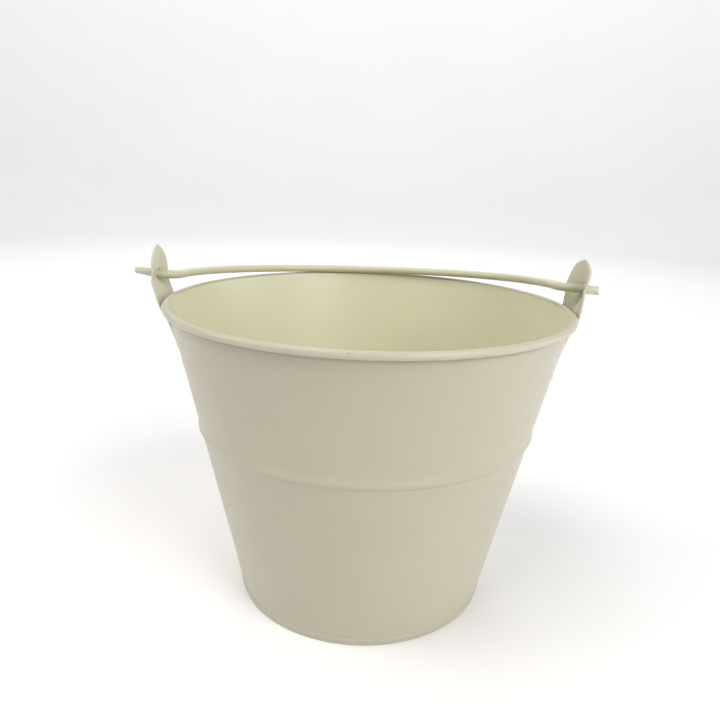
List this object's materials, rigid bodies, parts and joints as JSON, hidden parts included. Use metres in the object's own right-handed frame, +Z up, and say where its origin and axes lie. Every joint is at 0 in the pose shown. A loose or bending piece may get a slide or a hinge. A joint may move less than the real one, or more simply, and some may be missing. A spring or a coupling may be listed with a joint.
{
  "type": "florist bucket",
  "caption": "Small tapered painted sheet-metal florist's pail with a rolled rim, a raised bead, riveted pointed ears and a swinging wire bail.",
  "frame": {"origin": "centre of the foot ring, on the surface the pail stands on", "axes": "+Z up along the pail's axis; the bail's pivots and both ears lie on X; the bail rests on the rim at +Y, and the front is -Y"},
  "size_m": [0.1763, 0.1538, 0.14],
  "materials": {
    "cream_paint": "satin cream paint over sheet steel, with a faint orange peel",
    "cream_paint_inside": "satin cream paint, slightly warmer inside the pail",
    "cream_paint_wire": "satin cream paint over drawn wire",
    "steel_wire": "bare drawn steel wire, hidden in the rim"
  },
  "bodies": {
    "pail": {"body_wall": "cream_paint", "rim_wire": "steel_wire", "base_disc": "cream_paint_inside", "ear_left": "cream_paint", "ear_right": "cream_paint", "rivet_left_front": "cream_paint", "rivet_left_rear": "cream_paint", "rivet_right_front": "cream_paint", "rivet_right_rear": "cream_paint"},
    "bail": {"bail": "cream_paint_wire"}
  },
  "joints": [
    {"name": "bail_swing", "type": "hinge", "parent": "pail", "child": "bail", "pos_m": [0, 0, 0.129], "axis": [1, 0, 0], "range_deg": [0, 188.7]}
  ]
}
